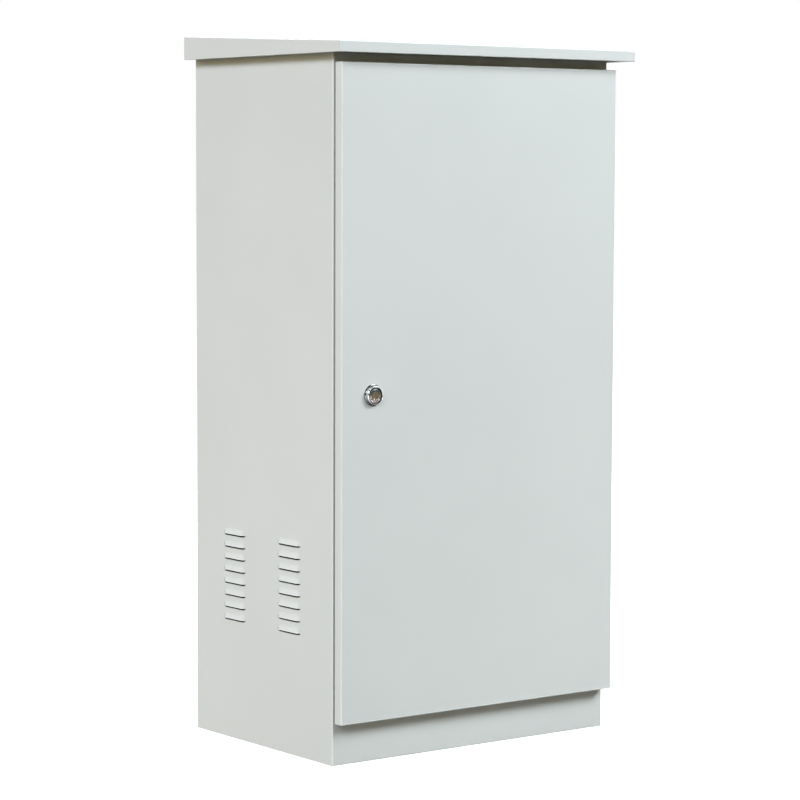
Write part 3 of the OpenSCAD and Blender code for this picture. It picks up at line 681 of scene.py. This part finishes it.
def build_plinth():
    """Folded strip below the door: lip with the slot of the lower rod, front, foot."""
    r = 1.7
    prof = [(YF + LIP, OZ0, 0, 1), (ROD_Y + 7.0, OZ0, 0, 1), (ROD_Y - 3.0, OZ0, 0, 1)]
    for th in arc(90, 180, 6):
        prof.append((YF + r + r * math.cos(th), OZ0 - r + r * math.sin(th), math.cos(th), math.sin(th)))
    for th in arc(180, 270, 6):
        prof.append((YF + r + r * math.cos(th), r + r * math.sin(th), math.cos(th), math.sin(th)))
    prof.append((YF + 25.0, 0.0, 0, -1))
    xs = [-OX - 3.0, LX - ROD_OFF - 9.5, LX - ROD_OFF + 9.5, OX + 3.0]
    outer, inner, faces = [], [], []
    for x in xs:
        for y, z, ny, nz in prof:
            outer.append((x, y, z))
            inner.append((x, y - ny * T, z - nz * T))
    n = len(prof)
    for i in range(len(xs) - 1):
        for j in range(n - 1):
            if i == 1 and j == 1:
                continue
            faces.append([i * n + j, i * n + j + 1, (i + 1) * n + j + 1, (i + 1) * n + j])
    v, f = thick_sheet(outer, inner, faces)

    # weight of the painted highlight in the bends of the plinth
    def bend(x, y, z):
        return 1.0 if y < YF + r - 0.01 and (z < r - 0.01 or z > OZ0 - r + 0.01) else 0.0
    return finish_mesh("plinth_strip", v, f, PAINT, "cabinet", ["front_plinth"], sharp=38, edge=bend)


# ------------------------------------------------------------------ lock
def join(parts):
    """Several (verts, faces) as one."""
    verts, faces = [], []
    for v, f in parts:
        n = len(verts)
        verts += v
        faces += [[i + n for i in g] for g in f]
    return verts, faces


def thread(r, pitch, h0, h1, centre, axis, segs=28, depth=None, per=6):
    """A closed screw thread along the axis, from height h0 to h1."""
    depth = depth or pitch * 0.55
    n = max(2, int(math.ceil((h1 - h0) / pitch * per)))
    verts, faces = [], []
    for j in range(n + 1):
        h = h0 + (h1 - h0) * j / n
        run = min(1.0, (h1 - h) / pitch * 1.2 + 0.12)
        for k in range(segs):
            a = 2 * math.pi * k / segs
            w = ((h - h0) / pitch - k / segs) % 1.0
            tri = abs(2 * w - 1)
            rr = min(r - depth * (1 - tri), r - depth + depth * run)
            verts.append(place(rr * math.cos(a), rr * math.sin(a), h, centre, axis))
    for j in range(n):
        for k in range(segs):
            k2 = (k + 1) % segs
            faces.append([j * segs + k, j * segs + k2, (j + 1) * segs + k2, (j + 1) * segs + k])
    faces.append(list(reversed(range(segs))))
    faces.append([n * segs + k for k in range(segs)])
    return verts, faces


def prism(loop, h0, h1, centre, axis, hole=None):
    """A straight prism on a loop of (a, b), with an optional hole through it."""
    verts, faces = [], []
    loops = [loop] + ([hole] if hole else [])
    ids = []
    for h in (h0, h1):
        row = []
        for lp in loops:
            r = []
            for x, y in lp:
                r.append(len(verts))
                verts.append(place(x, y, h, centre, axis))
            row.append(r)
        ids.append(row)
    for li, lp in enumerate(loops):
        n = len(lp)
        for k in range(n):
            k2 = (k + 1) % n
            q = [ids[0][li][k], ids[0][li][k2], ids[1][li][k2], ids[1][li][k]]
            faces.append(q if li == 0 else q[::-1])
    polys = [[Vector((x, y, 0)) for x, y in lp] for lp in loops]
    flat2 = [pt for lp in loops for pt in lp]
    for tri in tessellate_polygon(polys):
        p = [flat2[i] for i in tri]
        area = (p[1][0] - p[0][0]) * (p[2][1] - p[0][1]) - (p[2][0] - p[0][0]) * (p[1][1] - p[0][1])
        t = list(tri) if area > 0 else list(tri)[::-1]
        top = [i for r in ids[1] for i in r]
        low = [i for r in ids[0] for i in r]
        faces.append([top[i] for i in t])
        faces.append([low[i] for i in reversed(t)])
    return verts, faces


def circle(r, n=64, cx=0.0, cy=0.0, start=0.0):
    return [(cx + r * math.cos(start + 2 * math.pi * k / n), cy + r * math.sin(start + 2 * math.pi * k / n)) for k in range(n)]


LOCK_R = 14.1                                             # face of the plug


def build_lock():
    c = (LX, DYF, LZ)
    head = [(11.0, -27.0), (10.6, -26.0), (11.0, -25.4), (11.0, 0.0), (18.5, 0.0), (18.5, 0.4), (18.42, 0.65), (18.25, 0.8), (18.0, 0.86), (17.6, 0.95), (17.15, 1.15),
            (16.75, 1.5), (16.42, 2.0), (16.2, 2.6), (16.08, 3.3), (16.03, 4.2), (16.02, 5.2), (15.98, 6.1), (15.85, 6.9), (15.6, 7.45), (15.3, 7.78), (15.05, 7.92),
            (14.8, 7.93), (14.58, 7.82), (14.42, 7.6), (14.34, 7.2), (14.3, 6.6), (14.3, 2.0), (8.05, 2.0), (8.05, -27.0), (11.0, -27.0)]
    v, f = lathe(head, c, 96)
    finish_mesh("lock_head", v, f, CHROME, "door", ["lock_housing"], sharp=45)
    # the turning face: a shallow dome with a turned groove, round a plug with the keyway
    big = 60.0
    crown = 7.7

    def dome(r):
        return crown - (big - math.sqrt(big * big - r * r))
    face = [(6.9, 2.4), (LOCK_R, 2.4), (LOCK_R, 4.6), (13.9, 5.0), (13.6, 5.9), (13.45, 6.2), (13.2, dome(13.2))]
    face += [(r, dome(r)) for r in (12.8, 12.2, 11.6, 11.0, 10.5)]
    face += [(10.3, dome(10.3) - 0.12), (10.05, dome(10.05) - 0.22), (9.8, dome(9.8) - 0.12)]
    face += [(r, dome(r)) for r in (9.6, 9.0, 8.4, 7.8, 7.4)]
    face += [(7.15, dome(7.15) - 0.1), (6.95, 7.0), (6.9, 6.6), (6.9, 2.4)]
    v, f = lathe(face, c, 96)
    finish_mesh("lock_plug_face", v, f, LOCKFACE, "lock_core", ["lock_plug"], sharp=40)
    slot = [(-1.3, -4.4), (-1.1, -5.0), (-0.6, -5.35), (0.6, -5.35), (1.1, -5.0), (1.3, -4.4), (1.3, -1.2), (0.75, -0.8), (0.75, 1.0), (1.3, 1.4), (1.3, 4.4), (1.1, 5.0),
            (0.6, 5.35), (-0.6, 5.35), (-1.1, 5.0), (-1.3, 4.4)]
    rim = [prism(circle(6.3, 72), 2.05, 7.0, c, "-Y", slot), prism(circle(6.8, 72), 1.0, 2.05, c, "-Y")]
    rim.append(prism([(a * 0.97, b * 0.98) for a, b in slot], 2.0, 6.45, c, "-Y"))
    ring = lathe([(6.3, 6.2), (6.72, 6.5), (6.78, 7.0), (6.68, 7.42), (6.4, 7.6), (6.05, 7.5), (5.85, 7.2), (5.8, 6.9), (6.3, 6.2)], c, 72)
    back = [lathe([(0, 1.0), (7.8, 1.0), (7.8, -30.4), (7.4, -31.0), (0, -31.0)][::-1], c, 48),
            prism([(-4, -4), (4, -4), (4, 4), (-4, 4)], -34.0, -30.9, c, "-Y"),
            thread(4.0, 1.25, 33.5, 42.0, (LX, DYF, LZ), "+Y")]
    v, f = join(rim + [ring] + back)
    finish_mesh("lock_plug_core", v, f, LOCKFACE, "lock_core", (), sharp=40)
    # black ring in the groove round the face, a dark part standing in for the shade in that groove (painted shade)
    v, f = lathe([(13.66 + 0.56 * math.cos(a), 7.02 + 0.5 * math.sin(a)) for a in arc(0, 360, 12)], c, 96)
    finish_mesh("lock_groove_shade_ring", v, f, SEAL, "door", (), sharp=60)


def build_gasket():
    prof = [(0.0, 0.0), (0.0, 2.4), (0.25, 3.6), (0.8, 4.6), (1.7, 5.3), (3.0, 5.6), (4.3, 5.3), (5.2, 4.6), (5.75, 3.6), (6.0, 2.4), (6.0, 0.0)]
    st_x, st_z = [-180.0, -60.0, 60.0, 180.0], [300.0, 628.0, 960.0]
    verts, faces, rings = [], [], []
    for d, h in prof:
        ring = []
        for a, b in rounded_loop(-OX - 9.5 + d, OX + 9.5 - d, OZ0 - 9.5 + d, OZ1 + 9.5 - d, 8.0 - d, st_x, st_z, 8):
            ring.append(len(verts))
            verts.append((a, YF - h, b))
        rings.append(ring)
    n = len(rings[0])
    for k in range(len(rings)):
        A, B = rings[k], rings[(k + 1) % len(rings)]
        for i in range(n):
            i2 = (i + 1) % n
            faces.append([A[i2], A[i], B[i], B[i2]])
    finish_mesh("foam_seal_ring", verts, faces, SEAL, "cabinet", ["door_gasket"], sharp=50)


# ------------------------------------------------------------------ fasteners
CROSS = [(-0.5, -2.1), (0.5, -2.1), (0.62, -0.62), (2.1, -0.5), (2.1, 0.5), (0.62, 0.62), (0.5, 2.1), (-0.5, 2.1), (-0.62, 0.62), (-2.1, 0.5), (-2.1, -0.5), (-0.62, -0.62)]


def slot_loop(length, width):
    return [(-length / 2, -width / 2), (length / 2, -width / 2), (length / 2, width / 2), (-length / 2, width / 2)]


def screw(centre, axis, r1, r2, h, shank_r, shank_l, recess, depth):
    """A screw with a domed head, a driver recess and its shank."""
    prof = [(0, -shank_l), (shank_r * 0.8, -shank_l), (shank_r, -shank_l + shank_r * 0.3), (shank_r, 0.0), (r1, 0.0), (r1, h * 0.18), ((r1 * 2 + r2) / 3, h - depth), (0, h - depth)]
    crown = [((r1 * 2 + r2) / 3, h - depth), (r2 + (r1 - r2) * 0.42, h - depth * 0.45), (r2 + (r1 - r2) * 0.15, h - depth * 0.18), (r2 * 0.93, h)]
    parts = [lathe(prof, centre, 32, axis), lathe(crown, centre, 32, axis)]
    rim = [(r2 * 0.93 * math.cos(2 * math.pi * k / 32), r2 * 0.93 * math.sin(2 * math.pi * k / 32)) for k in range(32)]
    v, f = [], []
    flat = rim + list(recess)
    for x, y in flat:
        v.append(place(x, y, h, centre, axis))
    for x, y in recess:
        v.append(place(x, y, h - depth, centre, axis))
    for tri in tessellate_polygon([[Vector((x, y, 0)) for x, y in rim], [Vector((x, y, 0)) for x, y in recess]]):
        q = [flat[i] for i in tri]
        area = (q[1][0] - q[0][0]) * (q[2][1] - q[0][1]) - (q[2][0] - q[0][0]) * (q[1][1] - q[0][1])
        f.append(list(tri) if area > 0 else list(tri)[::-1])
    n = len(recess)
    for k in range(n):
        k2 = (k + 1) % n
        f.append([32 + k2, 32 + k, 32 + n + k, 32 + n + k2])
    return join(parts + [(v, f)])


def hex_nut(af, bore, h0, h1, centre, axis):
    """A hexagon nut with its corners turned down at both faces."""
    seg = 48
    rows = []
    for h, cut in ((h0, 0.5 * af * 1.02), (h0 + 0.9, 9e9), (h1 - 0.9, 9e9), (h1, 0.5 * af * 1.02)):
        row = []
        for k in range(seg):
            a = 2 * math.pi * k / seg
            b = (a + math.pi / 6) % (math.pi / 3) - math.pi / 6
            b = math.pi / 6 - abs(b)
            r = min(0.5 * af / math.cos(b), cut)
            row.append((r * math.cos(a), r * math.sin(a), h))
        rows.append(row)
    rows.insert(0, [(bore / 2 * math.cos(2 * math.pi * k / seg), bore / 2 * math.sin(2 * math.pi * k / seg), h0) for k in range(seg)])
    rows.append([(bore / 2 * math.cos(2 * math.pi * k / seg), bore / 2 * math.sin(2 * math.pi * k / seg), h1) for k in range(seg)])
    v, f = [], []
    for row in rows:
        for q in row:
            v.append(place(q[0], q[1], q[2], centre, axis))
    m = len(rows)
    for j in range(m):
        j2 = (j + 1) % m
        for k in range(seg):
            k2 = (k + 1) % seg
            f.append([j * seg + k, j * seg + k2, j2 * seg + k2, j2 * seg + k])
    return v, f


def washer(ro, ri, h0, h1, centre, axis):
    return lathe([(ri, h0), (ro, h0), (ro, h1 - 0.25), (ro - 0.25, h1), (ri, h1), (ri, h0)], centre, 48, axis)


def build_fasteners():
    parts = [screw((OX - 3, YF + 11, z + k), "-X", 4.5, 3.5, 2.4, 2.5, 8.0, [(a * 0.95, b * 0.95) for a, b in CROSS], 1.5) for z in HINGE_Z for k in (-9, 9)]
    v, f = join(parts)
    finish_mesh("hinge_screw_set", v, f, ZINC, "cabinet", ["hinge_screws"], sharp=35)
    parts = [screw((x, PLATE_Y - 1, z), "-Y", 5.5, 4.5, 3.2, 3.0, 8.0, [(a * 1.2, b * 1.2) for a, b in CROSS], 1.9) for z in RAIL_Z for x in (-150, 150)]
    v, f = join(parts)
    finish_mesh("rail_screw_set", v, f, ZINC, "cabinet", ["din_rail_screws"], sharp=35)
    parts = [screw((x, y, FLOOR_Z + 3.5), "+Z", 4.5, 3.75, 3.0, 2.5, 10.0, CROSS, 1.8) for x, y in GLAND_SCREWS]
    v, f = join(parts)
    finish_mesh("gland_plate_screw_set", v, f, ZINC, "cabinet", ["gland_plate_screws"], sharp=35)
    parts = [screw(((i - 0.5) * 28, PLATE_Y - 25, 155), "-Y", 5.5, 5.2, 4.0, 3.0, 9.0, slot_loop(8.4, 1.4), 2.0) for i in range(-3, 5)]
    parts += [hex_nut(10, 6.1, 0.0, 3.5, (s * 120, PLATE_Y - 25, 155), "-Y") for s in (-1, 1)]
    v, f = join(parts)
    finish_mesh("earth_screw_set", v, f, BRASS, "cabinet", ["earth_bar_screws"], sharp=35)
    # threaded studs and their nuts
    parts, nuts = [], []
    for s in (-1, 1):
        for z in (160, 1060):
            c = (s * 225, YB - T, z)
            parts += [lathe([(0, 0), (7.0, 0), (7.0, 34.1), (6.6, 34.5), (0, 34.5)], c, 40, "-Y"), thread(4.0, 1.25, 34.0, 51.5, c, "-Y", 30)]
            c = (s * 225, PLATE_Y, z)
            nuts += [washer(8.0, 4.05, 0.0, 1.6, c, "-Y"), hex_nut(13, 8.1, 1.6, 8.1, c, "-Y")]
    v, f = join(parts)
    finish_mesh("plate_stud_set", v, f, ZINC, "cabinet", ["mounting_studs"], sharp=35)
    v, f = join(nuts)
    finish_mesh("plate_nut_set", v, f, ZINC, "cabinet", ["mounting_nuts"], sharp=35)
    for name, node, body, c, axis, l in (("body_earth_point", "body_earth_stud", "cabinet", (W2 - T, 60, 112), "-X", 22.0),
                                         ("door_earth_point", "door_earth_stud", "door", (240, DYF + T, 300), "+Y", 18.0)):
        v, f = join([thread(4.0, 1.25, 0.0, l, c, axis, 30), washer(8.0, 3.3, 0.0, 1.6, c, axis), hex_nut(13, 6.6, 1.6, 8.1, c, axis)])
        finish_mesh(name, v, f, BRASS, body, [node], sharp=35)
    # cable glands: threaded body with a seal lip, hexagon and dome nut below the plate; locknut above it
    parts, nuts = [], []
    for x in (-150, -50, 50, 150):
        c = (x, 20, FLOOR_Z + T)
        ridge = []
        for k in range(9):
            ridge += [(15.2, 2.0 + 1.5 * k), (16.0, 2.75 + 1.5 * k)]
        prof = [(10.0, -25.4), (10.5, -26.0), (13.2, -26.0), (14.0, -25.6), (17.4, -20.6), (18.2, -19.4), (18.5, -18.2), (18.5, -9.0), (15.4, -9.0), (15.4, 0.0), (16.0, 0.2), (16.0, 2.0)]
        prof += ridge + [(15.2, 15.5), (14.6, 16.0), (12.4, 16.0), (11.6, 15.4), (10.4, 3.0), (10.0, -1.0), (10.0, -25.4)]
        parts.append(lathe(prof, c, 48, "+Z"))
        parts.append(hex_nut(40, 31.0, -9.0, 0.0, c, "+Z"))
        nuts.append(hex_nut(41, 32.1, 0.0, 7.0, (x, 20, FLOOR_Z + T + 2), "+Z"))
    v, f = join(parts)
    finish_mesh("gland_set", v, f, BLACK, "cabinet", ["cable_glands"], sharp=35)
    v, f = join(nuts)
    finish_mesh("gland_locknut_set", v, f, BLACK, "cabinet", ["gland_locknuts"], sharp=35)


SHELL = build_shell()
DOOR = build_door()
ROOF = build_roof()
PLINTH = build_plinth()
build_lock()
build_gasket()
build_fasteners()

# ------------------------------------------------------------------ materials of the other nodes
LOOK = {
    "paint": PAINT, "zinc": ZINC, "chrome": CHROME, "lock_face": LOCKFACE, "seal": SEAL, "black_plastic": BLACK, "grey_plastic": GREY,
    "red_plastic": RED, "copper": COPPER, "brass": BRASS, "filter": FILTER,
}
slots = {s["node"]: s["material_slot"] for s in frame["record"]["subparts"]}
EDGE = {n: 0.35 for n in ("roof_nuts", "roof_bolts", "lock_nut", "cam_nut", "hinge_pins")}
EDGE.update({n: 0.5 for n in ("earth_bar", "lock_cam", "upper_lock_rod", "lower_lock_rod", "hinge_leaf_upper", "hinge_leaf_middle", "hinge_leaf_lower",
                              "earth_bar_standoffs", "document_pocket", "filter_frame_left", "filter_frame_right",
                              "anchor_rail_left", "anchor_rail_right", "filter_pad_left", "filter_pad_right")})
for name, o in NODES.items():
    mat = LOOK[slots[name]]
    if name in ("mounting_plate", "gland_plate", "cable_clamp_rail"):
        mat = GALV
    o.data.materials.clear()
    o.data.materials.append(mat)
    width = EDGE.get(name)
    if width:
        add_bevel(o, width)

# ------------------------------------------------------------------ floor, light, camera
scene = bpy.context.scene
scene.view_settings.view_transform = "Standard"
scene.view_settings.look = "None"
scene.view_settings.exposure = 0.0
scene.view_settings.gamma = 1.0

me = bpy.data.meshes.new("floor")
me.from_pydata([(-40, -40, 0), (40, -40, 0), (40, 40, 0), (-40, 40, 0)], [], [[0, 1, 2, 3]])
floor = bpy.data.objects.new("floor", me)
scene.collection.objects.link(floor)
fm, nt, b = new_mat("floor_pale")
v = coords(nt)
nt.links.new(ramp(nt, noise(nt, v, 3.0), [(0.0, (0.86, 0.86, 0.86)), (1.0, (0.90, 0.90, 0.90))]), b.inputs["Base Color"])
b.inputs["Roughness"].default_value = 0.9
b.inputs["Specular IOR Level"].default_value = 0.1
ln = nt.nodes.new("ShaderNodeVectorMath")
ln.operation = "LENGTH"
nt.links.new(v, ln.inputs[0])
glow = nt.nodes.new("ShaderNodeMapRange")
glow.interpolation_type = "SMOOTHSTEP"
glow.inputs["From Min"].default_value = 0.5
glow.inputs["From Max"].default_value = 2.2
glow.inputs["To Min"].default_value = 0.62
glow.inputs["To Max"].default_value = 1.05
nt.links.new(ln.outputs["Value"], glow.inputs["Value"])
b.inputs["Emission Color"].default_value = (1.0, 1.0, 1.0, 1.0)
nt.links.new(glow.outputs["Result"], b.inputs["Emission Strength"])
me.materials.append(fm)

world = bpy.data.worlds.new("studio")
scene.world = world
world.use_nodes = True
bg = world.node_tree.nodes["Background"]
bg.inputs["Color"].default_value = (1.0, 1.0, 1.0, 1.0)
bg.inputs["Strength"].default_value = 1.0
world.cycles_visibility.diffuse = False      # the white surround is only a backdrop: the softboxes light the object
world.cycles_visibility.glossy = False
floor.visible_diffuse = False


def area_light(name, pos, target, size, watts, colour, gloss=True, diffuse=True):
    d = bpy.data.lights.new(name, "AREA")
    d.shape = "RECTANGLE"
    d.size, d.size_y = size
    d.energy = watts
    d.color = colour
    o = bpy.data.objects.new(name, d)
    scene.collection.objects.link(o)
    o.location = pos
    direction = Vector(target) - Vector(pos)
    o.rotation_euler = direction.to_track_quat("-Z", "Y").to_euler()
    o.visible_camera = False
    o.visible_glossy = gloss
    o.visible_diffuse = diffuse
    return o


LIGHTS = [
    ("key_left", (-8.80, -6.33, 5.53), (0, 0, 0.62), (2.86, 2.86), 700, (0.853, 0.898, 1.0)),
    ("key_side", (-10.01, 0.78, 7.35), (0, 0, 0.62), (3.64, 3.64), 780, (0.835, 0.868, 1.0)),
    ("key_front", (-1.2, -10.1, 7.9), (0, 0, 0.62), (2.9, 2.9), 222, (0.88, 0.96, 1.0)),
    ("key_right", (2.99, -3.63, 3.72), (0, 0, 0.62), (2.3, 2.3), 350, (0.908, 0.958, 1.0)),
    ("fill_left", (-9.0, 0.5, 1.6), (0, 0, 0.6), (7.2, 4.3), 250, (1.0, 0.81, 0.40), False),
    ("fill_front", (0.3, -9.0, 1.6), (0, 0, 0.6), (7.2, 4.3), 46, (1.0, 0.72, 0.20), False),
    ("bounce_front", (0.0, -1.15, 0.06), (0, -0.19, 0.06), (0.9, 0.06), 0.95, (1.0, 0.97, 0.86), False),
    ("bounce_left", (-1.0, 0.02, 0.10), (-0.3, 0.02, 0.10), (1.5, 0.08), 0.55, (0.92, 1.0, 0.98), False),
    ("gloss_left", (-4.10, 7.39, 3.79), (-0.3, 0.02, 0.3), (2.6, 2.6), 80, (1.0, 1.0, 1.0), True, False),
    ("back", (3.6, 6.4, 4.2), (0, 0, 0.6), (2.2, 2.2), 420, (1.0, 1.0, 1.0)),
    ("back_left", (-3.2, 7.4, 3.4), (0, 0, 0.6), (2.2, 2.2), 160, (1.0, 1.0, 1.0), False),
]
PAINTED = bpy.data.collections.new("painted_outside")
for o in (SHELL, DOOR, ROOF, PLINTH):
    PAINTED.objects.link(o)
for spec in LIGHTS:
    o = area_light(*spec)
    if spec[0].startswith("gloss"):
        o.light_linking.receiver_collection = PAINTED

cam_d = bpy.data.cameras.new("camera")
cam = bpy.data.objects.new("camera", cam_d)
scene.collection.objects.link(cam)
yaw, pitch, roll = math.radians(36.965), math.radians(4.582), math.radians(0.178)
fwd = Vector((math.sin(yaw) * math.cos(pitch), math.cos(yaw) * math.cos(pitch), -math.sin(pitch)))
right = Vector((math.cos(yaw), -math.sin(yaw), 0.0))
up = right.cross(fwd)
right, up = right * math.cos(roll) + up * math.sin(roll), up * math.cos(roll) - right * math.sin(roll)
rot = Matrix((right, up, -fwd)).transposed()
cam.matrix_world = Matrix.Translation((-3.0348, -4.0066, 0.9980)) @ rot.to_4x4()
cam_d.sensor_fit = "HORIZONTAL"
cam_d.sensor_width = 36.0
cam_d.lens = 126.84
cam_d.clip_end = 200.0
scene.camera = cam
